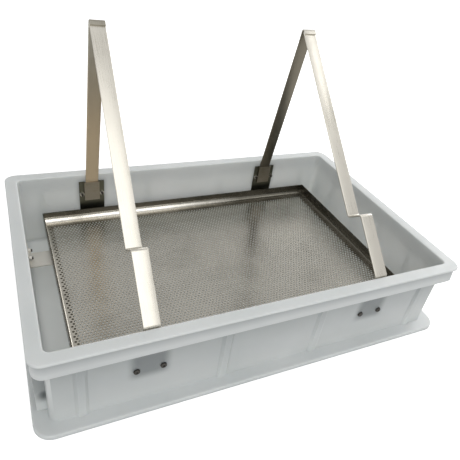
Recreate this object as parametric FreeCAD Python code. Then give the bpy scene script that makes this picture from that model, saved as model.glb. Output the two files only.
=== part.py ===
import FreeCAD, Part
import math
import os

os.makedirs("parts", exist_ok=True)

V = FreeCAD.Vector

# Uncapping tank in millimetres: X along the long side, Y to the rear, Z up, origin under the middle
# Moulded tank
rim_length = 710.0
rim_width = 459.0
tank_height = 146.0
rim_face = 20.5
wall = 3.5
lip_thickness = 4.0
band_inset = 2.5
band_depth = 29.0
rim_corner_radius = 19.0
inner_corner_radius = 9.0
rim_edge_radius = 2.5
foot_clearance = 1.5
foot_corner_radius = 27.0
foot_height = 8.0
base_recess = 3.0
base_thickness = 4.0
end_rib_thickness = 3.0
end_rib_places = (40.0, 130.0, 188.0)
side_rib_width = 14.0
side_rib_depth = 6.0
side_rib_places = (84.0, 295.0)

# Straps of the two racks that lean a comb frame over the tank
strap_width = 24.0
strap_thickness = 2.5
left_rack_x = -201.0
right_rack_x = 187.5
left_rack_lean = 1.2
rack_angle = 43.5
lower_leg_length = 103.5
ledge_length = 33.0
ledge_turn = 99.0
upper_leg_length = 356.0
front_bend_height = 1.5
rear_bend_depth = 9.0
bend_radius = 3.5
apex_bend_radius = 4.0
apex_lap = 13.0
apex_end_gap = 8.0

# Sockets folded from sheet, bolted inside the long walls
sheet = 1.5
channel_side_clearance = 1.0
channel_face_clearance = 0.75
channel_height = 40.0
flange_width = 9.5
rear_socket_drop = 15.0
front_socket_drop = 50.0
socket_bolt_drop = 26.0
shelf_underlap = 9.0
seat_gap = 0.05

# Screws and nuts, size M5
screw_diameter = 5.0
screw_hole_diameter = 5.5
screw_head_diameter = 9.5
screw_head_height = 2.8
screw_head_round = 1.7
screw_recess_flats = 3.0
screw_recess_depth = 1.6
nut_flats = 8.0
nut_height = 4.0
nut_bore_clearance = 0.05
screw_stand_out = 2.5

# Bracket that carries the tray at the left end wall
bracket_sheet = 2.0
bracket_width = 40.0
bracket_y = 86.0
bracket_height = 24.0
bracket_underlap = 9.0
bracket_bolt_spacing = 22.0
bracket_bolt_rise = 13.0

# Tray that strains the cappings
tray_end_gap = 37.0
tray_side_gap = 12.5
tray_drop = 92.0
tray_height = 22.0
rail_thickness = 2.0
rail_flange = 15.0
floor_thickness = 1.0
floor_clearance = 0.2
hole_diameter = 8.0
hole_pitch = 12.0
floor_side_margin = 17.0
floor_end_margin = 2.5

# Places that follow from the sizes above
inner_x = rim_length / 2 - rim_face
inner_y = rim_width / 2 - rim_face
outer_x = inner_x + wall
outer_y = inner_y + wall
band_x = rim_length / 2 - band_inset
band_y = rim_width / 2 - band_inset
foot_x = rim_length / 2 + foot_clearance + wall
foot_y = rim_width / 2 + foot_clearance + wall
band_bottom = tank_height - band_depth
rim_bottom = tank_height - lip_thickness
base_top = base_recess + base_thickness
channel_width = strap_width + 2 * channel_side_clearance
channel_depth = strap_thickness + 2 * channel_face_clearance
socket_bolt_x = channel_width / 2 + sheet + flange_width / 2
tray_bottom = tank_height - tray_drop
tray_x = inner_x - tray_end_gap
tray_y = inner_y - tray_side_gap
floor_x = tray_x - rail_thickness - floor_clearance
floor_y = tray_y - rail_thickness - floor_clearance
floor_bottom = tray_bottom + rail_thickness


def block(x0, x1, y0, y1, z0, z1):
    return Part.makeBox(x1 - x0, y1 - y0, z1 - z0, V(x0, y0, z0))


def rounded_wire(half_x, half_y, radius, z):
    edges = []
    corners = (
        (half_x - radius, half_y - radius, 0),
        (radius - half_x, half_y - radius, 90),
        (radius - half_x, radius - half_y, 180),
        (half_x - radius, radius - half_y, 270),
    )
    arcs = []
    for x, y, start in corners:
        points = []
        for angle in (start, start + 45, start + 90):
            a = math.radians(angle)
            points.append(V(x + radius * math.cos(a), y + radius * math.sin(a), z))
        arcs.append(points)
    for index, points in enumerate(arcs):
        following = arcs[(index + 1) % len(arcs)]
        edges.append(Part.Arc(*points).toShape())
        edges.append(Part.makeLine(points[2], following[0]))
    return Part.Wire(edges)


def rounded_block(half_x, half_y, radius, z0, z1):
    face = Part.Face(rounded_wire(half_x, half_y, radius, z0))
    return face.extrude(V(0, 0, z1 - z0))


def edges_in_plane(shape, z):
    found = []
    for edge in shape.Edges:
        if abs(edge.BoundBox.ZMin - z) < 1e-6 and abs(edge.BoundBox.ZMax - z) < 1e-6:
            found.append(edge)
    return found


# Strip bent in the YZ plane and centred on X = 0, its bends given as tangent arcs
def strip_side(path, radii, offset):
    edges = []
    here = path[0] + side_normal(path[0], path[1]) * offset
    for index in range(1, len(path) - 1):
        before, corner, after = path[index - 1:index + 2]
        along = (corner - before).normalize()
        onward = (after - corner).normalize()
        turn = math.acos(along.dot(onward))
        radius = radii[index - 1]
        reach = radius * math.tan(turn / 2)
        bend = 1.0 if along.cross(onward).x > 0 else -1.0
        normal_in = side_normal(before, corner)
        centre = corner - along * reach + normal_in * bend * radius
        start = corner - along * reach + normal_in * offset
        end = corner + onward * reach + side_normal(corner, after) * offset
        middle = centre + (corner - centre).normalize() * (radius - bend * offset)
        edges.append(Part.makeLine(here, start))
        edges.append(Part.Arc(start, middle, end).toShape())
        here = end
    edges.append(Part.makeLine(here, path[-1] + side_normal(path[-2], path[-1]) * offset))
    return edges


def side_normal(start, end):
    along = (end - start).normalize()
    return V(0, -along.z, along.y)


def bent_strip(path, radii, thickness, width):
    left = strip_side(path, radii, thickness / 2)
    right = strip_side(path, radii, -thickness / 2)
    caps = [
        Part.makeLine(left[0].firstVertex().Point, right[0].firstVertex().Point),
        Part.makeLine(left[-1].lastVertex().Point, right[-1].lastVertex().Point),
    ]
    wire = Part.Wire(Part.__sortEdges__(left + right + caps))
    strip = Part.Face(wire).extrude(V(width, 0, 0))
    strip.translate(V(-width / 2, 0, 0))
    return strip


def polar(angle):
    return V(0, math.cos(math.radians(angle)), math.sin(math.radians(angle)))


# Hexagon prism along Z from the given height
def hexagon(flats, z, height):
    radius = flats / math.sqrt(3)
    points = []
    for corner in range(7):
        a = math.radians(60 * corner)
        points.append(V(radius * math.cos(a), radius * math.sin(a), z))
    return Part.Face(Part.makePolygon(points)).extrude(V(0, 0, height))


# Screw along +Z with the underside of its button head at Z = 0
def make_screw(grip):
    length = grip + nut_height + screw_stand_out
    head = Part.makeCylinder(screw_head_diameter / 2, screw_head_height, V(0, 0, -screw_head_height))
    crown = edges_in_plane(head, -screw_head_height)
    head = head.makeFillet(screw_head_round, crown)
    head = head.cut(hexagon(screw_recess_flats, -screw_head_height, screw_recess_depth))
    return head.fuse(Part.makeCylinder(screw_diameter / 2, length)).removeSplitter()


def make_nut(grip):
    nut = hexagon(nut_flats, grip, nut_height)
    bore = Part.makeCylinder(screw_diameter / 2 + nut_bore_clearance, nut_height, V(0, 0, grip))
    return nut.cut(bore)


# Frame whose local Z points from the outside of a wall to the inside
def wall_placement(side, x, y, z):
    turns = {"front": (V(1, 0, 0), -90), "rear": (V(1, 0, 0), 90), "left": (V(0, 1, 0), 90)}
    axis, angle = turns[side]
    return FreeCAD.Placement(V(x, y, z), FreeCAD.Rotation(axis, angle))


def set_at(placements, shape):
    copies = []
    for placement in placements:
        copy = shape.copy()
        copy.Placement = placement
        copies.append(copy)
    return Part.makeCompound(copies)


# Where the sockets and the bracket are bolted through the walls
def socket_bolts(side, rack_x, top):
    y = -outer_y if side == "front" else outer_y
    places = []
    for offset in (-socket_bolt_x, socket_bolt_x):
        places.append(wall_placement(side, rack_x + offset, y, top - socket_bolt_drop))
    return places


def bracket_bolts():
    places = []
    for offset in (-bracket_bolt_spacing / 2, bracket_bolt_spacing / 2):
        z = tray_bottom + bracket_bolt_rise
        places.append(wall_placement("left", -outer_x, bracket_y + offset, z))
    return places


sockets = {
    "front_left": ("front", left_rack_x, tank_height - front_socket_drop),
    "front_right": ("front", right_rack_x, tank_height - front_socket_drop),
    "rear_left": ("rear", left_rack_x, tank_height - rear_socket_drop),
    "rear_right": ("rear", right_rack_x, tank_height - rear_socket_drop),
}


# Tank: one moulding, kept as its walls, rim, foot and ribs
def tank_core(z0, z1):
    return rounded_block(outer_x, outer_y, inner_corner_radius + wall, z0, z1)


def tank_hollow():
    return rounded_block(inner_x, inner_y, inner_corner_radius, base_top, tank_height)


def make_walls():
    walls = tank_core(base_recess, rim_bottom).cut(tank_hollow())
    return walls.cut(bolt_holes(tank_bolts(), wall))


def make_rim():
    band_radius = rim_corner_radius - band_inset
    gap_x = band_x - wall
    gap_y = band_y - wall
    gap = rounded_block(gap_x, gap_y, band_radius - wall, band_bottom, tank_height - wall)
    lip = rounded_block(rim_length / 2, rim_width / 2, rim_corner_radius, rim_bottom, tank_height)
    lip = lip.cut(gap.cut(tank_core(band_bottom, tank_height)))
    band = rounded_block(band_x, band_y, band_radius, band_bottom, rim_bottom).cut(gap)
    rim = lip.fuse(band).cut(tank_hollow()).removeSplitter()
    return rim.makeFillet(rim_edge_radius, edges_in_plane(rim, tank_height))


def make_foot():
    foot = rounded_block(foot_x, foot_y, foot_corner_radius, 0, foot_height)
    under = foot_corner_radius - wall
    foot = foot.cut(rounded_block(foot_x - wall, foot_y - wall, under, 0, foot_height - wall))
    return foot.cut(tank_core(0, foot_height))


def make_ribs():
    ribs = []
    for place in end_rib_places:
        for side in (-1, 1):
            x0, x1 = sorted((side * outer_x, side * band_x))
            for y in (-place, place):
                y0 = y - end_rib_thickness / 2
                ribs.append(block(x0, x1, y0, y0 + end_rib_thickness, foot_height, band_bottom))
    for place in side_rib_places:
        for side in (-1, 1):
            y0, y1 = sorted((side * outer_y, side * (outer_y + side_rib_depth)))
            for x in (-place, place):
                x0 = x - side_rib_width / 2
                ribs.append(block(x0, x0 + side_rib_width, y0, y1, foot_height, band_bottom))
    return Part.makeCompound(ribs)


def tank_bolts():
    places = bracket_bolts()
    for side, rack_x, top in sockets.values():
        places += socket_bolts(side, rack_x, top)
    return places


def bolt_holes(places, depth):
    drill = Part.makeCylinder(screw_hole_diameter / 2, depth + 2, V(0, 0, -1))
    return set_at(places, drill)


# Socket: a hat channel that takes a strap, and a back plate folded under the tray
def make_socket(side, rack_x, top):
    inward = 1 if side == "front" else -1
    face = -inner_y * inward
    bottom = top - channel_height
    half = channel_width / 2
    front = face + inward * (channel_depth + sheet)

    def plate(x0, x1, y0, y1, z0, z1):
        y0, y1 = sorted((y0, y1))
        return block(rack_x + x0, rack_x + x1, y0, y1, z0, z1)

    socket = plate(-half - sheet, half + sheet, front - inward * sheet, front, bottom, top)
    socket = socket.fuse(plate(-half - sheet, half + sheet, face, front, bottom, bottom + sheet))
    for hand in (-1, 1):
        cheek = sorted((hand * half, hand * (half + sheet)))
        flange = sorted((hand * half, hand * (half + sheet + flange_width)))
        socket = socket.fuse(plate(cheek[0], cheek[1], face, front, bottom, top))
        socket = socket.fuse(plate(flange[0], flange[1], face, face + inward * sheet, bottom, top))
    outer = half + sheet + flange_width
    shelf_bottom = tray_bottom - sheet
    shelf_end = face + inward * (tray_side_gap + shelf_underlap)
    back = plate(-outer, outer, face, face + inward * sheet, shelf_bottom, bottom + sheet)
    shelf = plate(-outer, outer, face, shelf_end, shelf_bottom, tray_bottom)
    socket = socket.fuse(back).fuse(shelf).removeSplitter()
    return socket.cut(bolt_holes(socket_bolts(side, rack_x, top), wall + sheet))


def make_bracket():
    x0 = -inner_x
    x1 = -inner_x + tray_end_gap + bracket_underlap
    y0 = bracket_y - bracket_width / 2
    y1 = bracket_y + bracket_width / 2
    shelf = block(x0, x1, y0, y1, tray_bottom - bracket_sheet, tray_bottom)
    back_top = tray_bottom + bracket_height
    back = block(x0, x0 + bracket_sheet, y0, y1, tray_bottom - bracket_sheet, back_top)
    bracket = shelf.fuse(back).removeSplitter()
    return bracket.cut(bolt_holes(bracket_bolts(), wall + bracket_sheet))


# Rack legs: the front strip carries the ledge, the rear strip laps over it at the top
def rack_path():
    strap_y = inner_y - channel_depth / 2
    front_stop = tank_height - front_socket_drop - channel_height + sheet + seat_gap
    rear_stop = tank_height - rear_socket_drop - channel_height + sheet + seat_gap
    rim_point = V(0, -strap_y, tank_height + front_bend_height)
    ledge_front = rim_point + polar(rack_angle) * lower_leg_length
    ledge_back = ledge_front - polar(rack_angle + ledge_turn) * ledge_length
    apex = ledge_back + polar(rack_angle) * upper_leg_length
    front = [
        V(0, -strap_y, front_stop),
        rim_point,
        ledge_front,
        ledge_back,
        apex - polar(rack_angle) * apex_end_gap,
    ]
    fold = apex + polar(rack_angle + 90) * strap_thickness
    rear = [
        V(0, strap_y, rear_stop),
        V(0, strap_y, tank_height - rear_bend_depth),
        fold,
        fold - polar(rack_angle) * apex_lap,
    ]
    return front, rear


def make_rack(rack_x, lean):
    front, rear = rack_path()
    legs = {
        "front_leg": bent_strip(front, [bend_radius] * 3, strap_thickness, strap_width),
        "rear_leg": bent_strip(rear, [bend_radius, apex_bend_radius], strap_thickness, strap_width),
    }
    pivot_z = tank_height - (front_socket_drop + rear_socket_drop + channel_height) / 2
    lift = strap_width / 2 * math.sin(math.radians(lean))
    for leg in legs.values():
        leg.rotate(V(0, 0, pivot_z), V(0, 1, 0), lean)
        leg.translate(V(rack_x, 0, lift))
    return legs


# Tray: four mitred angle rails round a perforated sheet that lies on their flanges
def make_rails():
    top = tray_bottom + tray_height
    inside_x = tray_x - rail_thickness
    inside_y = tray_y - rail_thickness
    ring = block(-tray_x, tray_x, -tray_y, tray_y, tray_bottom, top)
    ring = ring.cut(block(-inside_x, inside_x, -inside_y, inside_y, tray_bottom + rail_thickness, top))
    well_x = tray_x - rail_flange
    well_y = tray_y - rail_flange
    ring = ring.cut(block(-well_x, well_x, -well_y, well_y, tray_bottom, top))
    spine = tray_x - tray_y
    left = [V(-tray_x, -tray_y, 0), V(-spine, 0, 0), V(-tray_x, tray_y, 0)]
    front = [V(-tray_x, -tray_y, 0), V(tray_x, -tray_y, 0), V(spine, 0, 0), V(-spine, 0, 0)]
    plans = {
        "left": left,
        "right": [V(-point.x, point.y, 0) for point in left],
        "front": front,
        "rear": [V(point.x, -point.y, 0) for point in front],
    }
    rails = {}
    for name, points in plans.items():
        wedge = Part.Face(Part.makePolygon(points + points[:1])).extrude(V(0, 0, 2 * top))
        rails[name] = ring.common(wedge)
    return rails


# One strip of the sheet for each row of holes, without the seam faces where strips meet
def floor_strip(y0, y1, row_y, places):
    corners = [V(-floor_x, y0, 0), V(floor_x, y0, 0), V(floor_x, y1, 0), V(-floor_x, y1, 0)]
    wires = [Part.makePolygon(corners + corners[:1])]
    for x in places:
        circle = Part.Circle(V(x, row_y, 0), V(0, 0, 1), hole_diameter / 2)
        hole = Part.Wire([circle.toShape()])
        hole.reverse()
        wires.append(hole)
    strip = Part.Face(wires).extrude(V(0, 0, floor_thickness))
    faces = []
    for face in strip.Faces:
        flat_in_y = face.BoundBox.YLength < 1e-6
        at_edge = floor_y - abs(face.BoundBox.YMax) < 1e-6
        if at_edge or not flat_in_y:
            faces.append(face)
    return faces


def make_floor():
    row_pitch = hole_pitch * math.sqrt(3) / 2
    row_reach = floor_y - floor_side_margin - hole_diameter / 2
    hole_reach = floor_x - floor_end_margin - hole_diameter / 2
    rows = int(row_reach / row_pitch)
    columns = int(hole_reach / hole_pitch) + 1
    faces = []
    for row in range(-rows, rows + 1):
        y0 = -floor_y if row == -rows else (row - 0.5) * row_pitch
        y1 = floor_y if row == rows else (row + 0.5) * row_pitch
        shift = hole_pitch / 2 * (row % 2)
        places = [column * hole_pitch + shift for column in range(-columns, columns + 1)]
        places = [x for x in places if abs(x) <= hole_reach]
        faces += floor_strip(y0, y1, row * row_pitch, places)
    skin = Part.makeShell(faces)
    skin.sewShape()
    plate = Part.Solid(skin)
    plate.translate(V(0, 0, floor_bottom))
    return plate


# Parts list
nodes = {
    "tank_walls": make_walls(),
    "tank_rim": make_rim(),
    "tank_foot": make_foot(),
    "tank_ribs": make_ribs(),
}

for name, (side, rack_x, top) in sockets.items():
    places = socket_bolts(side, rack_x, top)
    grip = wall + sheet
    nodes["socket_" + name] = make_socket(side, rack_x, top)
    nodes["socket_screws_" + name] = set_at(places, make_screw(grip))
    nodes["socket_nuts_" + name] = set_at(places, make_nut(grip))

bracket_grip = wall + bracket_sheet
nodes["end_bracket"] = make_bracket()
nodes["end_bracket_screws"] = set_at(bracket_bolts(), make_screw(bracket_grip))
nodes["end_bracket_nuts"] = set_at(bracket_bolts(), make_nut(bracket_grip))

for name, leg in make_rack(left_rack_x, left_rack_lean).items():
    nodes["rack_left_" + name] = leg
for name, leg in make_rack(right_rack_x, 0.0).items():
    nodes["rack_right_" + name] = leg

for name, rail in make_rails().items():
    nodes["tray_rail_" + name] = rail
nodes["tray_floor"] = make_floor()

for name, shape in nodes.items():
    shape.exportStep("parts/" + name + ".step")
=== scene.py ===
# %% [markdown]
# # An uncapping tank
# A beekeeper leans a honeycomb on two steel racks, slices off its wax lids and lets the honey
# drain through a perforated tray into a plastic tank.
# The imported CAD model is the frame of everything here: its sizes are real, in metres, and each
# surface built below sits where the CAD part is.
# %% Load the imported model
import math

import bpy
import numpy as np
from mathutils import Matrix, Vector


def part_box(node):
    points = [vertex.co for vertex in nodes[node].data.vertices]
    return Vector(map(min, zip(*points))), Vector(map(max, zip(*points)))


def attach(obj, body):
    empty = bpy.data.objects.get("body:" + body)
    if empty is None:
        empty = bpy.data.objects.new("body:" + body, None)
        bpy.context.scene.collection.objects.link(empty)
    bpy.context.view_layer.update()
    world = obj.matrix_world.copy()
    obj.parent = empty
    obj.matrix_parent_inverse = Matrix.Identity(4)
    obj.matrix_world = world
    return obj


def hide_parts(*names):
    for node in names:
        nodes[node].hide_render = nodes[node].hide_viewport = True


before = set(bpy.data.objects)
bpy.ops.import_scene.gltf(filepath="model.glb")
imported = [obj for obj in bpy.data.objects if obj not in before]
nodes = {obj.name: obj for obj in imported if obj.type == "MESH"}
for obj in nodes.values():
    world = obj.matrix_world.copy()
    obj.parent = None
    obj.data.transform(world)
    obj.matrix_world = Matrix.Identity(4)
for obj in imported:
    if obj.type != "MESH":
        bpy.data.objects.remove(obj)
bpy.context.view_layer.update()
MM = 0.001

# Where the middle of each rack stands along the tank, in millimetres
LEFT_RACK_X, RIGHT_RACK_X = -201.0, 187.5

# %% [markdown]
# ## Colours and nodes
# Paint charts and photographs give colours as sRGB hex values, but a shader works in linear
# light, so one function turns the one into the other.
# A material is a small graph. One function adds a node, sets its values and makes its links,
# which keeps each recipe below readable as a list of what the surface has.
# %% Two helpers for materials
def linear(hex_colour):
    """sRGB hex to linear RGBA: each channel is divided by 12.92 when dark, else raised to 2.4."""
    channels = [int(hex_colour[i:i + 2], 16) / 255 for i in (1, 3, 5)]
    curve = [c / 12.92 if c <= 0.04045 else ((c + 0.055) / 1.055) ** 2.4 for c in channels]
    return (*curve, 1.0)


def add(tree, kind, values=None, links=None, **settings):
    """Adds one node: settings are its properties, values its inputs, links the outputs that feed it."""
    node = tree.nodes.new(kind)
    for name, value in settings.items():
        setattr(node, name, value)
    for name, value in (values or {}).items():
        node.inputs[name].default_value = value
    for name, source in (links or {}).items():
        tree.links.new(source, node.inputs[name])
    return node


def new_material(name):
    """An empty node graph, ready for a recipe."""
    material = bpy.data.materials.new(name)
    material.use_nodes = True
    material.node_tree.nodes.clear()
    return material, material.node_tree


# %% [markdown]
# ## Camera
# The view is a photograph taken a little above the tank from its left front corner, with a
# lens of about 37 mm on a 36 mm sensor. Place and angles come from matching the rim, the
# racks and the tray to a picture of this size.
# %% Camera
SENSOR_WIDTH, LENS = 36.0, 36.68
CAMERA_PLACE = (-0.33824, -0.61707, 0.61433)
CAMERA_TURN = (54.942, -7.698, -23.954)

camera_data = bpy.data.cameras.new("camera")
camera_data.sensor_width = SENSOR_WIDTH
camera_data.lens = LENS
camera = bpy.data.objects.new("camera", camera_data)
bpy.context.scene.collection.objects.link(camera)
camera.location = CAMERA_PLACE
camera.rotation_euler = [math.radians(angle) for angle in CAMERA_TURN]
bpy.context.scene.camera = camera
bpy.context.scene.view_settings.view_transform = "Standard"
print("camera", list(camera.location))

# %% [markdown]
# ## Natural polyethylene
# The tank is injection-moulded high-density polyethylene with no pigment. Light enters the
# wall and spreads a few millimetres before it leaves, so edges look soft and the shade side is
# never dark. The mould leaves it smooth but not glossy, and use leaves faint rubbed patches.
# Subsurface scattering gives the glow; two noises give the cloudy colour and the rubbed gloss.
# Steel bolted against the inside shows through the wall as a soft shade, as a hand behind a milk
# jug does; that shade is painted into the wall's colour. Each painted shade is a box with soft sides:
# the product of three falling edges, one for each direction, measured from the middle of the steel behind
# the wall.
# Behind the upper part of the walls stands the tray in its shade, so a painted shade makes the outside of
# the walls darker from the foot up to the band as well, and a painted shade under the lip darkens the band
# up to it.
# The last two boxes are a painted shade: a dark patch, darkest in one spot, at the left front corner. The
# last two boxes are a dark patch at the left front corner. The picture doesn't tell what stands behind it.
# Light also comes up through the bottom from the pale ground, so the floor is given a faint painted glow.
# %% Material: moulded natural polyethylene
# How far the side of a patch spreads, in metres
BLUR = 0.012

# Middle of each painted shade patch and half of its size in metres, and how strong it is
PAINTED_SHADE_PATCHES = [
    ((LEFT_RACK_X * MM, -0.2125, 0.080), (0.023, 0.004, 0.020), 0.62),
    ((RIGHT_RACK_X * MM, -0.2125, 0.080), (0.023, 0.004, 0.020), 0.62),
    ((LEFT_RACK_X * MM, 0.2125, 0.108), (0.023, 0.004, 0.023), 0.62),
    ((RIGHT_RACK_X * MM, 0.2125, 0.108), (0.023, 0.004, 0.023), 0.62),
    ((-0.338, 0.086, 0.065), (0.004, 0.019, 0.013), 0.62),
    # Painted shade in the pocket at the left front corner
    ((-0.346, -0.190, 0.075), (0.011, 0.008, 0.030), 0.45),
    ((-0.341, -0.190, 0.041), (0.004, 0.006, 0.007), 0.95),
]

# Half of the tank's length and width, out to the middle of its walls
WALL_MIDDLE = (0.3365, 0.211, 0.0)

# Heights where the painted shade of the walls and of the band begins and is full, and how strong it is
WALL_SHADE, WALL_SHADE_STRENGTH = (0.02, 0.1168), 0.75
BAND_SHADE, BAND_SHADE_STRENGTH = (0.124, 0.1425), 0.7

# Middle and half of the size of the bottom, and how strong its painted glow is, which stands for light
# coming up through it
BOTTOM_MIDDLE, BOTTOM_HALF, PAINTED_BOTTOM_GLOW = (0.0, 0.0, 0.010), (0.326, 0.2005, 0.014), 0.15


def soft_box(tree, position, middle, half):
    """1 inside the box and 0 more than BLUR outside it: the product over X, Y and Z of falling edges."""
    away = add(tree, "ShaderNodeVectorMath", {1: middle}, {0: position}, operation="SUBTRACT")
    away = add(tree, "ShaderNodeVectorMath", links={0: away.outputs["Vector"]}, operation="ABSOLUTE")
    split = add(tree, "ShaderNodeSeparateXYZ", links={"Vector": away.outputs["Vector"]})
    product = None
    for axis, size in zip("XYZ", half):
        edge = add(tree, "ShaderNodeMapRange",
                   {"From Min": size - BLUR / 2, "From Max": size + BLUR, "To Min": 1.0, "To Max": 0.0},
                   {"Value": split.outputs[axis]}, interpolation_type="SMOOTHSTEP")
        value = edge.outputs["Result"]
        if product is not None:
            value = add(tree, "ShaderNodeMath", links={0: product, 1: value},
                        operation="MULTIPLY").outputs["Value"]
        product = value
    return product


def outer_shade(tree, position, low, high):
    """0 to 1 while Z goes from low to high, then 0, on the outside only: |x| or |y| past the wall."""
    size = add(tree, "ShaderNodeVectorMath", links={0: position}, operation="ABSOLUTE")
    past = add(tree, "ShaderNodeVectorMath", {1: WALL_MIDDLE}, {0: size.outputs["Vector"]},
               operation="SUBTRACT")
    split = add(tree, "ShaderNodeSeparateXYZ", links={"Vector": past.outputs["Vector"]})
    far = add(tree, "ShaderNodeMath", links={0: split.outputs["X"], 1: split.outputs["Y"]},
              operation="MAXIMUM")
    outside = add(tree, "ShaderNodeMath", {1: 0.0}, {0: far.outputs["Value"]}, operation="GREATER_THAN")
    rise = add(tree, "ShaderNodeMapRange", {"From Min": low, "From Max": high},
               {"Value": split.outputs["Z"]})
    below = add(tree, "ShaderNodeMath", {1: high}, {0: split.outputs["Z"]}, operation="LESS_THAN")
    both = add(tree, "ShaderNodeMath", links={0: outside.outputs["Value"], 1: rise.outputs["Result"]},
               operation="MULTIPLY")
    return add(tree, "ShaderNodeMath", links={0: both.outputs["Value"], 1: below.outputs["Value"]},
               operation="MULTIPLY").outputs["Value"]


def natural_polyethylene():
    """Cloudy pale plastic that scatters light, darkened by the painted shades above, with a faint fine
    grain.
    """
    material, tree = new_material("moulded natural polyethylene")
    place = add(tree, "ShaderNodeTexCoord")
    position = place.outputs["Object"]
    cloud = add(tree, "ShaderNodeTexNoise", {"Scale": 9.0, "Detail": 3.0}, {"Vector": position})
    tint = add(tree, "ShaderNodeValToRGB", links={"Fac": cloud.outputs["Fac"]})
    tint.color_ramp.elements[0].position = 0.3
    tint.color_ramp.elements[0].color = linear("#D6DAD9")
    tint.color_ramp.elements[1].position = 0.7
    tint.color_ramp.elements[1].color = linear("#DFE2E1")
    shade = None
    # Painted shade: each patch darkens the colour towards a dark grey
    for middle, half, strength in PAINTED_SHADE_PATCHES:
        box = soft_box(tree, position, middle, half)
        box = add(tree, "ShaderNodeMath", {1: strength}, {0: box}, operation="MULTIPLY").outputs["Value"]
        if shade is not None:
            box = add(tree, "ShaderNodeMath", links={0: shade, 1: box}, operation="MAXIMUM").outputs["Value"]
        shade = box
    # Painted shade: the outside walls darken up towards the band, and the band up towards the lip
    wall = outer_shade(tree, position, *WALL_SHADE)
    band = outer_shade(tree, position, *BAND_SHADE)
    higher = add(tree, "ShaderNodeMath", {1: WALL_SHADE_STRENGTH}, {0: wall}, operation="MULTIPLY")
    higher = add(tree, "ShaderNodeMath", {1: BAND_SHADE_STRENGTH}, {0: band, 2: higher.outputs["Value"]},
                 operation="MULTIPLY_ADD")
    tint = add(tree, "ShaderNodeMix", {"B": linear("#939A9C")},
               {"Factor": higher.outputs["Value"], "A": tint.outputs["Color"]}, data_type="RGBA")
    # Painted glow: the bottom emits a little light
    bottom = soft_box(tree, position, BOTTOM_MIDDLE, BOTTOM_HALF)
    glow = add(tree, "ShaderNodeMath", {1: PAINTED_BOTTOM_GLOW}, {0: bottom}, operation="MULTIPLY")
    colour = add(tree, "ShaderNodeMix", {"B": linear("#4E5658")},
                 {"Factor": shade, "A": tint.outputs["Result"]}, data_type="RGBA")
    rub = add(tree, "ShaderNodeTexNoise", {"Scale": 45.0, "Detail": 6.0, "Roughness": 0.65},
              {"Vector": position})
    gloss = add(tree, "ShaderNodeMapRange",
                {"From Min": 0.3, "From Max": 0.7, "To Min": 0.34, "To Max": 0.52},
                {"Value": rub.outputs["Fac"]})
    grain = add(tree, "ShaderNodeTexNoise", {"Scale": 900.0, "Detail": 2.0}, {"Vector": position})
    bump = add(tree, "ShaderNodeBump", {"Strength": 0.08, "Distance": 0.0002},
               {"Height": grain.outputs["Fac"]})
    surface = add(tree, "ShaderNodeBsdfPrincipled",
                  {"IOR": 1.54, "Subsurface Weight": 0.8, "Subsurface Scale": 0.01,
                   "Subsurface Radius": (1.0, 0.95, 0.9)},
                  {"Base Color": colour.outputs["Result"], "Roughness": gloss.outputs["Result"],
                   "Normal": bump.outputs["Normal"], "Emission Strength": glow.outputs["Value"]})
    surface.inputs["Emission Color"].default_value = linear("#F4F6F2")
    add(tree, "ShaderNodeOutputMaterial", links={"Surface": surface.outputs["BSDF"]})
    return material


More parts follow.
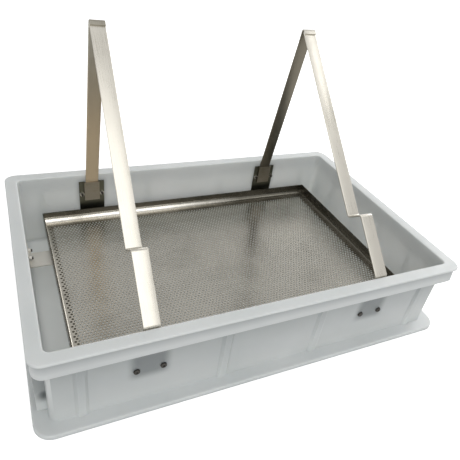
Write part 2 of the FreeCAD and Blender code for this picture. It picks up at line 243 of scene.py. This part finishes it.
# %% [markdown]
# ## Stainless steel
# All the metal is austenitic stainless sheet and strap. Cold rolling leaves fine lines along
# the strip, which stretch a highlight across them. The steel is the same on every piece, and
# only its colour, gloss and the direction of the lines differ, so one recipe serves all.
# The lines are a noise that is squeezed across the strip and stretched along it: about 0.4 mm
# apart here, coarser than the real ones so that they still show.
# The colour may also change past a given place in X or Y: a painted shade darkens the flanges of
# a folded sheet where they lie against the wall, a painted reflection makes a rear strap darker or
# lighter below its top, and a painted reflection keeps the bend round the tray bright only in its left part.
# %% Material: rolled stainless steel
def rolled_stainless(name, dark, light, squeeze, low_gloss, high_gloss, past=None):
    """squeeze is the noise scale along X, Y and Z. past = (axis, start, end, hex): the colour turns
    to hex while X or |Y| goes from start to end, in metres."""
    material, tree = new_material(name)
    place = add(tree, "ShaderNodeTexCoord")
    squeezed = add(tree, "ShaderNodeMapping", {"Scale": squeeze}, {"Vector": place.outputs["Object"]})
    lines = add(tree, "ShaderNodeTexNoise", {"Scale": 1.0, "Detail": 3.0, "Roughness": 0.6},
                {"Vector": squeezed.outputs["Vector"]})
    stain = add(tree, "ShaderNodeTexNoise", {"Scale": 14.0, "Detail": 4.0},
                {"Vector": place.outputs["Object"]})
    both = add(tree, "ShaderNodeMath", links={0: lines.outputs["Fac"], 1: stain.outputs["Fac"]},
               operation="ADD")
    tint = add(tree, "ShaderNodeValToRGB", links={"Fac": both.outputs["Value"]})
    tint.color_ramp.elements[0].position = 0.75
    tint.color_ramp.elements[0].color = linear(dark)
    tint.color_ramp.elements[1].position = 1.1
    tint.color_ramp.elements[1].color = linear(light)
    colour = tint.outputs["Color"]
    if past is not None:
        axis, start, end, other = past
        axes = add(tree, "ShaderNodeSeparateXYZ", links={"Vector": place.outputs["Object"]})
        reach = axes.outputs[axis]
        if axis == "Y":
            reach = add(tree, "ShaderNodeMath", links={0: reach}, operation="ABSOLUTE").outputs["Value"]
        share = add(tree, "ShaderNodeMapRange", {"From Min": start, "From Max": end}, {"Value": reach})
        colour = add(tree, "ShaderNodeMix", {"B": linear(other)},
                     {"Factor": share.outputs["Result"], "A": colour}, data_type="RGBA").outputs["Result"]
    gloss = add(tree, "ShaderNodeMapRange",
                {"From Min": 0.75, "From Max": 1.25, "To Min": low_gloss, "To Max": high_gloss},
                {"Value": both.outputs["Value"]})
    bump = add(tree, "ShaderNodeBump", {"Strength": 0.07, "Distance": 0.0001},
               {"Height": lines.outputs["Fac"]})
    surface = add(tree, "ShaderNodeBsdfPrincipled", {"Metallic": 1.0},
                  {"Base Color": colour, "Roughness": gloss.outputs["Result"],
                   "Normal": bump.outputs["Normal"]})
    add(tree, "ShaderNodeOutputMaterial", links={"Surface": surface.outputs["BSDF"]})
    return material


# Noise scale along X, Y and Z: large across the lines and small along them
STRAP_LINES = (2500, 30, 30)
FOLDED_LINES = (60, 60, 2500)
BRACKET_LINES = (60, 2500, 60)
SHEET_LINES = (30, 2500, 30)
MACHINED_GRAIN = (900, 900, 900)
BEND_GRAIN = (60, 60, 60)

polyethylene = natural_polyethylene()
strap_steel = rolled_stainless("rolled stainless strap", "#C0BCB1", "#CECAC0", STRAP_LINES, 0.24, 0.36)
# Painted reflection: the left rear strap is dark at its top and paler, browner below
left_rear_steel = rolled_stainless("rolled stainless, painted dark reflection above", "#8B8579", "#A19D91",
                                   STRAP_LINES, 0.3, 0.42, past=("Y", 0.157, 0.185, "#CDBCA3"))
# Painted reflection: the right rear strap turns dark just below its top
right_rear_steel = rolled_stainless("rolled stainless, painted dark reflection below", "#C0BCB1", "#CECAC0",
                                    STRAP_LINES, 0.3, 0.42, past=("Y", 0.1475, 0.149, "#6C675C"))
# Painted shade: the rails are a far darker copy of the steel, standing for the dark reflections they show
rail_steel = rolled_stainless("stainless sheet, painted dark reflection", "#4C4A43", "#5F5C54", FOLDED_LINES, 0.2, 0.34)
# Painted shade on the flanges that lie against the wall
socket_steel = rolled_stainless("folded stainless sheet", "#8C8576", "#9D968A",
                                FOLDED_LINES, 0.28, 0.42, past=("Y", 0.2055, 0.2065, "#66665A"))
bracket_steel = rolled_stainless("clean stainless sheet", "#C4C1B8", "#D2CFC7", BRACKET_LINES, 0.3, 0.45)
screw_steel = rolled_stainless("dark machined stainless", "#33312E", "#464440", MACHINED_GRAIN, 0.3, 0.45)
nut_steel = rolled_stainless("machined stainless", "#BDBAB2", "#CFCCC5", MACHINED_GRAIN, 0.2, 0.35)
sheet_steel = rolled_stainless("perforated stainless sheet", "#9C988E", "#B0ACA2", SHEET_LINES, 0.18, 0.3)
# Painted reflection: the bend is bright on the left and turns dark towards the right
bend_steel = rolled_stainless("stainless sheet, painted reflection on the left", "#DEDAD0", "#ECE8DF",
                              BEND_GRAIN, 0.2, 0.32, past=("X", -0.05, 0.13, "#6E6B62"))

# %% [markdown]
# ## Dressing the CAD parts
# Where the CAD shape is right, its mesh stays and only its material changes.
# %% Assign materials to the CAD parts
def dress(name, material):
    """One material on every face of a CAD part."""
    data = nodes[name].data
    data.materials.clear()
    data.materials.append(material)


for name in nodes:
    if name in ("tank_walls", "tank_rim", "tank_foot", "tank_ribs"):
        dress(name, polyethylene)
    elif "screws" in name:
        dress(name, screw_steel)
    elif "nuts" in name:
        dress(name, nut_steel)
    elif name == "end_bracket":
        dress(name, bracket_steel)
    elif name.startswith("rack"):
        dress(name, strap_steel)
    elif name.startswith("tray_rail"):
        dress(name, rail_steel)
    elif name == "tray_floor":
        dress(name, sheet_steel)
    else:
        dress(name, socket_steel)
print("dressed", len(nodes), "CAD parts")

# %% [markdown]
# ## Mesh from arrays
# Every new surface is worked out as whole numpy arrays: a grid of points, and the faces that
# join each point to its neighbours. This function hands the arrays to Blender. Faces come in
# groups, because a cap can have many more corners than the four of a grid's faces.
# Edges sharper than 32 degrees stay crisp and the rest is shaded smooth.
# %% Mesh helper
CREASE = math.radians(32)


def piece(name, points, groups, material, body):
    """A mesh object from N x 3 points in millimetres and a list of M x sides arrays of corner numbers."""
    corners = np.concatenate([g.ravel() for g in groups]).astype(np.int32)
    sides = np.concatenate([np.full(len(g), g.shape[1]) for g in groups])
    starts = np.concatenate([[0], np.cumsum(sides)[:-1]]).astype(np.int32)
    data = bpy.data.meshes.new(name)
    data.vertices.add(len(points))
    data.vertices.foreach_set("co", (np.asarray(points) * MM).astype(np.float32).ravel())
    data.loops.add(len(corners))
    data.loops.foreach_set("vertex_index", corners)
    data.polygons.add(len(sides))
    data.polygons.foreach_set("loop_start", starts)
    data.update(calc_edges=True)
    data.shade_smooth()
    data.set_sharp_from_angle(angle=CREASE)
    data.materials.append(material)
    made = bpy.data.objects.new(name, data)
    bpy.context.scene.collection.objects.link(made)
    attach(made, body)
    print(name, len(points), "points", len(sides), "faces")
    return made


def grid_faces(rows, columns, closed):
    """Quads of a grid of points counted row by row. closed joins the last column to the first."""
    i = np.arange(rows - 1)[:, None]
    j = np.arange(columns if closed else columns - 1)[None, :]
    k = (j + 1) % columns
    quads = [i * columns + j, (i + 1) * columns + j, (i + 1) * columns + k, i * columns + k]
    return np.stack(quads, axis=-1).reshape(-1, 4)


# %% [markdown]
# ## Rounded paths
# Bent straps and moulded rims are both a line with rounded corners. At each corner an arc
# touches both straight runs: it starts radius * tan(turn / 2) before the corner.
# A point 0.4 mm before and after each arc holds the shading of the flat parts flat.
# %% Path with rounded corners
def rounded_path(corners, radii, steps=5, hold=0.4):
    """Straight runs and corner arcs. An arc is centre + radius * (cos, sin) in the corner's plane."""
    corners = np.asarray(corners, float)
    parts = [corners[:1]]
    for before, corner, after, radius in zip(corners, corners[1:], corners[2:], radii):
        back = (before - corner) / np.linalg.norm(before - corner)
        ahead = (after - corner) / np.linalg.norm(after - corner)
        half = math.acos(np.clip(back @ ahead, -1, 1)) / 2
        reach = radius / math.tan(half)
        middle = (back + ahead) / np.linalg.norm(back + ahead)
        centre = corner + middle * radius / math.sin(half)
        start = corner + back * reach - centre
        end = corner + ahead * reach - centre
        share = np.linspace(0, 1, steps + 1)[:, None]
        sweep = math.pi - 2 * half
        arc = (np.sin((1 - share) * sweep) * start + np.sin(share * sweep) * end) / math.sin(sweep)
        before_arc = corner + back * (reach + hold)
        after_arc = corner + ahead * (reach + hold)
        parts += [before_arc[None], centre + arc, after_arc[None]]
    parts.append(corners[-1:])
    return np.concatenate(parts)


# %% [markdown]
# ## The moulded tank
# The real tank is one moulding with walls 3.5 mm thick, so here it is one surface in place of
# the four CAD nodes. Its section is a closed line: the inside of the floor and wall, the rim,
# the band that hangs from it, the outside of the wall, the flat foot and the underside.
# That line is carried round a rounded rectangle, so a point of the surface depends on two
# numbers: how far along the section it is, and how far round the tank.
# Upright ribs stiffen the walls under the band. They are part of the same surface: between
# their edges the wall's rows are pushed outwards.
# %% Section of the tank
INNER_X, INNER_Y = 334.5, 209.0
WALL = 3.5
FOOT_TOP, BAND_BOTTOM, RIM_UNDERSIDE, TOP = 8.0, 117.0, 140.5, 146.0

# Each corner: distance out from the inner wall, height, corner radius in plan, rounding
TANK_SECTION = [
    (-8.0, 7.0, 4.0, 0.0),
    (0.0, 7.0, 9.0, 4.0),
    (0.0, TOP, 9.0, 2.2),
    (20.5, TOP, 19.0, 1.7),
    (20.5, 142.7, 19.0, 0.7),
    (15.8, 142.3, 14.5, 0.8),
    (18.4, BAND_BOTTOM, 16.8, 1.3),
    (15.2, BAND_BOTTOM, 13.6, 0.8),
    (13.2, RIM_UNDERSIDE, 12.0, 1.5),
    (WALL, RIM_UNDERSIDE, 12.5, 3.0),
    (WALL + 0.01, BAND_BOTTOM, 12.51, 0.05),
    (WALL, FOOT_TOP, 12.5, 2.0),
    (25.5, FOOT_TOP, 27.0, 2.2),
    (25.5, 0.0, 27.0, 0.8),
    (22.0, 0.0, 23.5, 0.8),
    (22.0, 4.5, 23.5, 1.0),
    (3.0, 4.5, 12.0, 0.5),
    (0.0, 3.0, 9.0, 0.5),
    (-8.0, 3.0, 4.0, 0.0),
]

# The wall's curve into the foot ends nearer to the inner wall than this
CURVE_END = 6.0

# Places of the ribs along a wall, and half of the width, depth and slope of the sides of one
SIDE_RIBS, SIDE_RIB = (-295.0, -84.0, 84.0, 295.0), (7.0, 3.5, 2.2)
END_RIBS, END_RIB = (-188.0, -130.0, -40.0, 40.0, 130.0, 188.0), (1.5, 14.2, 0.5)


# %% The way round the tank
def rib_stations(places, half_width, depth, draft):
    """For each rib: foot, edge, edge, foot along the wall, and how far out each is. Sides slope by draft."""
    along = np.array([-half_width - draft, -half_width + draft, half_width - draft, half_width + draft])
    along = (np.array(places)[:, None] + along).ravel()
    out = np.tile([0.0, depth, depth, 0.0], len(places))
    return along, out


def tank_round(arc_steps=8):
    """Points round the tank as columns: corner signs, outward direction, fixed X or Y, rib depth.

    Each quarter is one wall and the corner after it. A wall's points have one coordinate fixed."""
    side_x, side_out = rib_stations(SIDE_RIBS, *SIDE_RIB)
    end_y, end_out = rib_stations(END_RIBS, *END_RIB)
    rows = []
    for quarter in range(4):
        direction = math.pi / 2 * quarter
        corner_x = 1 if quarter in (0, 3) else -1
        corner_y = 1 if quarter in (0, 1) else -1
        at_end = quarter % 2 == 0
        fixed, out = (end_y, end_out) if at_end else (side_x, side_out)
        fixed, out = fixed[::corner_x], out[::corner_x]
        free = np.full(len(fixed), np.nan)
        xs, ys = (free, fixed) if at_end else (fixed, free)
        signs = np.tile([corner_x, corner_y], (len(fixed), 1))
        rows.append(np.column_stack([signs, np.full(len(fixed), direction), xs, ys, out]))
        turn = direction + np.linspace(0, math.pi / 2, arc_steps + 1)
        free = np.full(len(turn), np.nan)
        signs = np.tile([corner_x, corner_y], (len(turn), 1))
        rows.append(np.column_stack([signs, turn, free, free, np.zeros(len(turn))]))
    return np.concatenate(rows)


def moulded_tank():
    """A section point out from the inner wall by d goes straight along each wall at INNER + d, and
    turns each corner at radius * (cos, sin). The two ends of the section are closed by caps."""
    section = rounded_path([c[:3] for c in TANK_SECTION], [c[3] for c in TANK_SECTION[1:-1]])
    out, height, radius = (column[:, None] for column in section.T)
    sign_x, sign_y, turn, fixed_x, fixed_y, rib = tank_round().T[:, None, :]
    reach_x = INNER_X + out - radius
    reach_y = INNER_Y + out - radius
    x = np.where(np.isnan(fixed_x), sign_x * reach_x + radius * np.cos(turn), fixed_x)
    y = np.where(np.isnan(fixed_y), sign_y * reach_y + radius * np.sin(turn), fixed_y)
    order = np.arange(len(section))[:, None]
    outside = order > np.argmin(np.abs(section[:, 1] - RIM_UNDERSIDE) + np.abs(section[:, 0] - WALL))
    on_wall = outside & (height <= BAND_BOTTOM) & (height >= FOOT_TOP) & (out < CURVE_END)
    x = x + np.cos(turn) * rib * on_wall
    y = y + np.sin(turn) * rib * on_wall
    points = np.stack(np.broadcast_arrays(x, y, height), axis=-1)
    rows, columns = points.shape[:2]
    ring = np.arange(columns)
    caps = [ring[None, :], ((rows - 1) * columns + ring[::-1])[None, :]]
    faces = [grid_faces(rows, columns, True)] + caps
    shell = piece("moulded_tank", points.reshape(-1, 3), faces, polyethylene, "tank")
    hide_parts("tank_walls", "tank_rim", "tank_foot", "tank_ribs")


moulded_tank()

# %% [markdown]
# ## The racks
# Each rack is two lengths of stainless strap, 24 by 2.5 mm. The front one comes up out of its
# socket, leans back over the rim, and steps down into a ledge that the comb frame stands on.
# The rear one climbs behind it and folds over its top end.
# A strap is a small rounded rectangle carried along its bent line. Rolled strap has edges
# rounded by the mill, and those catch the light, which a plain sharp box would not.
# %% Strap carried along a bent line
STRAP_WIDTH, STRAP_THICKNESS = 24.0, 2.5
STRAP_EDGE = 0.7

# Height in the sockets about which a rack leans
LEAN_PIVOT = 93.5


def strap_section():
    """A rounded rectangle across the strap: four quarter arcs at the corners, anticlockwise."""
    turn = np.linspace(0, math.pi / 2, 4)
    turn = (turn[None, :] + np.arange(4)[:, None] * math.pi / 2).ravel()
    signs = np.repeat([(1, 1), (-1, 1), (-1, -1), (1, -1)], 4, axis=0)
    centre = signs * (STRAP_WIDTH / 2 - STRAP_EDGE, STRAP_THICKNESS / 2 - STRAP_EDGE)
    return centre + STRAP_EDGE * np.column_stack([np.cos(turn), np.sin(turn)])


def strap(body, end, corners, radii, rack_x, lean, steel):
    """Each path point carries the section across X and along the line's normal. Then it leans about Y."""
    line = rounded_path(corners, radii, steps=6, hold=0.8)
    along = np.gradient(line, axis=0)
    along = along / np.linalg.norm(along, axis=1)[:, None]
    normal = np.column_stack([-along[:, 1], along[:, 0]])
    section = strap_section()
    x = np.broadcast_to(section[None, :, 0], (len(line), len(section)))
    yz = line[:, None, :] + normal[:, None, :] * section[None, :, 1, None]
    angle = math.radians(lean)
    up = yz[:, :, 1] - LEAN_PIVOT
    points = np.stack([
        rack_x + x * math.cos(angle) + up * math.sin(angle),
        yz[:, :, 0],
        LEAN_PIVOT + up * math.cos(angle) + (STRAP_WIDTH / 2 - x) * math.sin(angle),
    ], axis=-1)
    rows, columns = points.shape[:2]
    ring = np.arange(columns)
    caps = [ring[None, :], ((rows - 1) * columns + ring[::-1])[None, :]]
    faces = [grid_faces(rows, columns, True)] + caps
    name = body + "_" + end + "_strap"
    node = body + "_" + end + "_leg"
    made = piece(name, points.reshape(-1, 3), faces, steel, body)
    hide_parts(node)


# %% The two racks
# Corners of each strap's middle line as Y and Z, and the radius of each bend between them
FRONT_LINE = [(-207.0, 57.55), (-207.0, 147.5), (-131.924, 218.745), (-105.743, 198.656), (146.687, 438.203)]
FRONT_BENDS = (3.5, 3.5, 3.5)
REAR_LINE = [(207.0, 92.55), (207.0, 137.0), (150.769, 445.523), (141.339, 436.575)]
REAR_BENDS = (3.5, 4.0)

# Body, place along the tank, lean in degrees, and the finish of the rear strap
RACKS = [
    ("rack_left", LEFT_RACK_X, 1.2, left_rear_steel),
    ("rack_right", RIGHT_RACK_X, 0.0, right_rear_steel),
]

for body, rack_x, lean, rear_steel in RACKS:
    strap(body, "front", FRONT_LINE, FRONT_BENDS, rack_x, lean, strap_steel)
    strap(body, "rear", REAR_LINE, REAR_BENDS, rack_x, lean, rear_steel)

# %% [markdown]
# ## The perforated sheet
# The strainer is a stock sheet: round holes of 4 mm at a pitch of 6 mm, in rows along the tray,
# each row moved by half a pitch. The CAD part has holes twice as large, because thousands of
# small ones would slow it down, so the fine sheet is made here.
# One cell of the sheet is a rectangle with a hole of eight sides: its four corners and four
# side middles join to the eight points of the hole. Cells of the next row meet corner to
# middle, so the rows close up without a gap. All cells are copies of one, moved as arrays.
# %% The perforated sheet
HOLE_RADIUS = 2.0
HOLE_PITCH = 6.0
SIDE_MARGIN, END_MARGIN = 17.0, 3.2


def cell_ring():
    """Eight points round a cell and eight round its hole, both from the +X side anticlockwise."""
    half_x = HOLE_PITCH / 2
    half_y = HOLE_PITCH * math.sqrt(3) / 4
    outer = np.array([(1, 0), (1, 1), (0, 1), (-1, 1), (-1, 0), (-1, -1), (0, -1), (1, -1)], float)
    outer = outer * (half_x, half_y)
    angle = np.arange(8) * math.pi / 4
    hole = HOLE_RADIUS * np.stack([np.cos(angle), np.sin(angle)], axis=1)
    return outer, hole


def perforated_cells(centres, top, bottom):
    """For each centre: ring of top quads, ring of hole wall quads, ring of bottom quads."""
    outer, hole = cell_ring()
    flat = np.concatenate([outer, hole, hole, outer])
    heights = np.repeat([top, top, bottom, bottom], 8)
    cell = np.column_stack([flat, heights])
    points = cell[None, :, :] + np.column_stack([centres, np.zeros(len(centres))])[:, None, :]
    here = np.arange(8)
    after = (here + 1) % 8
    rings = [np.column_stack([8 * k + here, 8 * k + after, 8 * k + 8 + after, 8 * k + 8 + here])
             for k in range(3)]
    ring = np.concatenate(rings)
    faces = ring[None, :, :] + 32 * np.arange(len(centres))[:, None, None]
    return points.reshape(-1, 3), faces.reshape(-1, 4)


def plain_strips(rows, half_x, half_y, row_half, top, bottom):
    """Boxes of sheet beyond the holes: one at each end of each row, and one along each side."""
    boxes = []
    for y, reach_low, reach_high in rows:
        boxes.append((-half_x, reach_low, y - row_half, y + row_half))
        boxes.append((reach_high, half_x, y - row_half, y + row_half))
    last = rows[-1][0] + row_half
    boxes += [(-half_x, half_x, -half_y, -last), (-half_x, half_x, last, half_y)]
    corners = np.array([[(a, c), (b, c), (b, d), (a, d)] for a, b, c, d in boxes])
    count = len(boxes)
    low = np.dstack([corners, np.full((count, 4), bottom)])
    high = np.dstack([corners, np.full((count, 4), top)])
    points = np.concatenate([low, high], axis=1).reshape(-1, 3)
    box = np.array([(3, 2, 1, 0), (4, 5, 6, 7), (0, 1, 5, 4), (1, 2, 6, 5), (2, 3, 7, 6), (3, 0, 4, 7)])
    faces = (box[None] + 8 * np.arange(count)[:, None, None]).reshape(-1, 4)
    return points, faces


def perforated_sheet():
    """Cells at (column * pitch + shift, row * pitch * sqrt(3) / 2), and plain strips beyond them."""
    low, high = [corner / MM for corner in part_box("tray_floor")]
    half_x, half_y = high.x, high.y
    row_pitch = HOLE_PITCH * math.sqrt(3) / 2
    row_count = int((half_y - SIDE_MARGIN - HOLE_RADIUS) / row_pitch)
    reach = half_x - END_MARGIN
    rows = []
    centres = []
    for row in range(-row_count, row_count + 1):
        shift = HOLE_PITCH / 2 * (row % 2)
        count = int((reach - HOLE_PITCH / 2 - shift) / HOLE_PITCH)
        left = int((reach - HOLE_PITCH / 2 + shift) / HOLE_PITCH)
        x = np.arange(-left, count + 1) * HOLE_PITCH + shift
        centres.append(np.column_stack([x, np.full(len(x), row * row_pitch)]))
        rows.append((row * row_pitch, x[0] - HOLE_PITCH / 2, x[-1] + HOLE_PITCH / 2))
    all_centres = np.concatenate(centres)
    made = []
    for part, group in enumerate(np.array_split(all_centres, 2)):
        points, faces = perforated_cells(group, high.z, low.z)
        name = "perforated_sheet_%d" % (part + 1)
        made.append(piece(name, points, [faces], sheet_steel, "tray"))
    points, faces = plain_strips(rows, half_x, half_y, row_pitch / 2, high.z, low.z)
    made.append(piece("perforated_sheet_edge", points, [faces], sheet_steel, "tray"))
    for part in made:
        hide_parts("tray_floor")
    print("holes", len(all_centres))


perforated_sheet()

# %% [markdown]
# ## The rounded edge of the sheet
# Where the sheet meets the rails it turns up in a soft bend. A concave bend mirrors the sky
# from somewhere along its curve, so it shows as a bright line round the tray.
# Its section is a quarter circle hollowed out of a square corner, and the section is carried
# round the four mitred corners of the rails, like a picture frame. Along the two short ends
# the bend is tighter, so X moves in by a share of d only.
# %% The bend round the tray
BEND_RADIUS = 9.0
END_SHARE = 0.35

# How far the back of the bend bites into the rails and the sheet
BITE = 0.2


def sheet_bend():
    """Section point (d, h): d in from the rails, h up from the sheet. At a corner X and Y both move in."""
    turn = np.linspace(0, math.pi / 2, 13)
    arc = BEND_RADIUS * (1 - np.column_stack([np.sin(turn), np.cos(turn)]))
    section = np.concatenate([arc, [(-BITE, BEND_RADIUS), (-BITE, -BITE), (BEND_RADIUS, -BITE)]])
    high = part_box("tray_floor")[1] / MM
    signs = np.array([(1, 1), (-1, 1), (-1, -1), (1, -1)])
    inner = np.array([high.x + BITE, high.y + BITE])
    flat = signs[None, :, :] * (inner - section[:, None, :1] * (END_SHARE, 1.0))
    height = np.broadcast_to(high.z + section[:, None, 1:], (len(section), 4, 1))
    points = np.concatenate([flat, height], axis=2)
    ring = grid_faces(len(section) + 1, 4, True) % (4 * len(section))
    # The bend's steel holds a painted reflection, bright on the left only
    piece("tray_sheet_bend", points.reshape(-1, 3), [ring], bend_steel, "tray")


sheet_bend()

# %% [markdown]
# ## Studio
# The object stands in a plain white studio. The floor and the world look white to the camera
# and in reflections, while the light that falls on the object stays moderate.
# The floor is paler to the camera than to the light that bounces from it, so that the
# background is white, the soft shadow stays, and the tank's sides aren't lit from below.
# %% Floor and world
FLOOR_HALF, FLOOR_GLOW = 6.0, 0.6
WORLD_LIGHT, WORLD_MIRRORED = 0.42, 0.8


def white_stage():
    """A large floor under the foot: grey for bounced light, white with a little glow for the camera."""
    material, tree = new_material("studio floor paint")
    path = add(tree, "ShaderNodeLightPath")
    grey = add(tree, "ShaderNodeBsdfDiffuse", {"Color": linear("#D0D0D0")})
    white = add(tree, "ShaderNodeBsdfDiffuse", {"Color": linear("#FFFFFF")})
    glow = add(tree, "ShaderNodeEmission", {"Color": (1, 1, 1, 1), "Strength": FLOOR_GLOW})
    bright = add(tree, "ShaderNodeAddShader", links={0: white.outputs["BSDF"], 1: glow.outputs["Emission"]})
    seen = add(tree, "ShaderNodeMath", operation="MAXIMUM",
               links={0: path.outputs["Is Camera Ray"], 1: path.outputs["Is Glossy Ray"]})
    mix = add(tree, "ShaderNodeMixShader",
              links={0: seen.outputs["Value"], 1: grey.outputs["BSDF"], 2: bright.outputs["Shader"]})
    add(tree, "ShaderNodeOutputMaterial", links={"Surface": mix.outputs["Shader"]})
    points = FLOOR_HALF * np.array([(-1, -1, 0), (1, -1, 0), (1, 1, 0), (-1, 1, 0)])
    data = bpy.data.meshes.new("studio_floor")
    data.from_pydata(points.tolist(), [], [(0, 1, 2, 3)])
    data.materials.append(material)
    floor = bpy.data.objects.new("studio_floor", data)
    bpy.context.scene.collection.objects.link(floor)


def white_world():
    """White to camera and transmission rays, a little less in mirrors, dimmer for everything else."""
    world = bpy.data.worlds.new("studio")
    bpy.context.scene.world = world
    world.use_nodes = True
    tree = world.node_tree
    tree.nodes.clear()
    path = add(tree, "ShaderNodeLightPath")
    mirrored = add(tree, "ShaderNodeMapRange", {"To Min": WORLD_LIGHT, "To Max": WORLD_MIRRORED},
                   {"Value": path.outputs["Is Glossy Ray"]})
    seen = add(tree, "ShaderNodeMath", operation="MAXIMUM",
               links={0: path.outputs["Is Camera Ray"], 1: path.outputs["Is Transmission Ray"]})
    level = add(tree, "ShaderNodeMath", operation="MAXIMUM",
                links={0: mirrored.outputs["Result"], 1: seen.outputs["Value"]})
    light = add(tree, "ShaderNodeBackground", {"Color": (1, 1, 1, 1)},
                {"Strength": level.outputs["Value"]})
    add(tree, "ShaderNodeOutputWorld", links={"Surface": light.outputs["Background"]})


white_stage()
white_world()

# %% [markdown]
# ## Lamps
# Satin plastic shows a sheen where it is seen at a low angle, so a bright panel low behind the
# tank makes the rear and the right of the rim the brightest. A large soft lamp on the right
# lights the left inner wall and leaves the right one in shade, and a very large one high in
# front lights the front and is mirrored by the left rack. A dim low one lifts the left front,
# and a small one on the right is mirrored by the top of the right rack.
# %% Lamps
def soft_lamp(name, place, aim, width, height, power):
    """A rectangular lamp at place, turned so that it faces aim."""
    data = bpy.data.lights.new(name, "AREA")
    data.shape = "RECTANGLE"
    data.size = width
    data.size_y = height
    data.energy = power
    lamp = bpy.data.objects.new(name, data)
    bpy.context.scene.collection.objects.link(lamp)
    lamp.location = place
    direction = np.array(aim, float) - np.array(place, float)
    flat = math.hypot(direction[0], direction[1])
    lamp.rotation_euler = (math.atan2(flat, -direction[2]), 0, math.atan2(-direction[0], direction[1]))


soft_lamp("back_panel", (1.3, 1.9, 0.75), (0, 0, 0.15), 2.2, 0.9, 10.0)
soft_lamp("window", (2.0, 0.5, 1.1), (0, 0, 0.1), 1.0, 1.0, 11.0)
soft_lamp("softbox", (-0.2, -1.5, 1.9), (0, 0, 0.1), 2.2, 2.2, 19.0)
soft_lamp("right_strap_light", (0.95, -0.16, 1.44), (0.19, 0.1, 0.4), 0.35, 0.35, 0.8)
soft_lamp("front_fill", (-0.9, -2.2, 0.5), (0, 0, 0.1), 1.2, 0.6, 3.5)
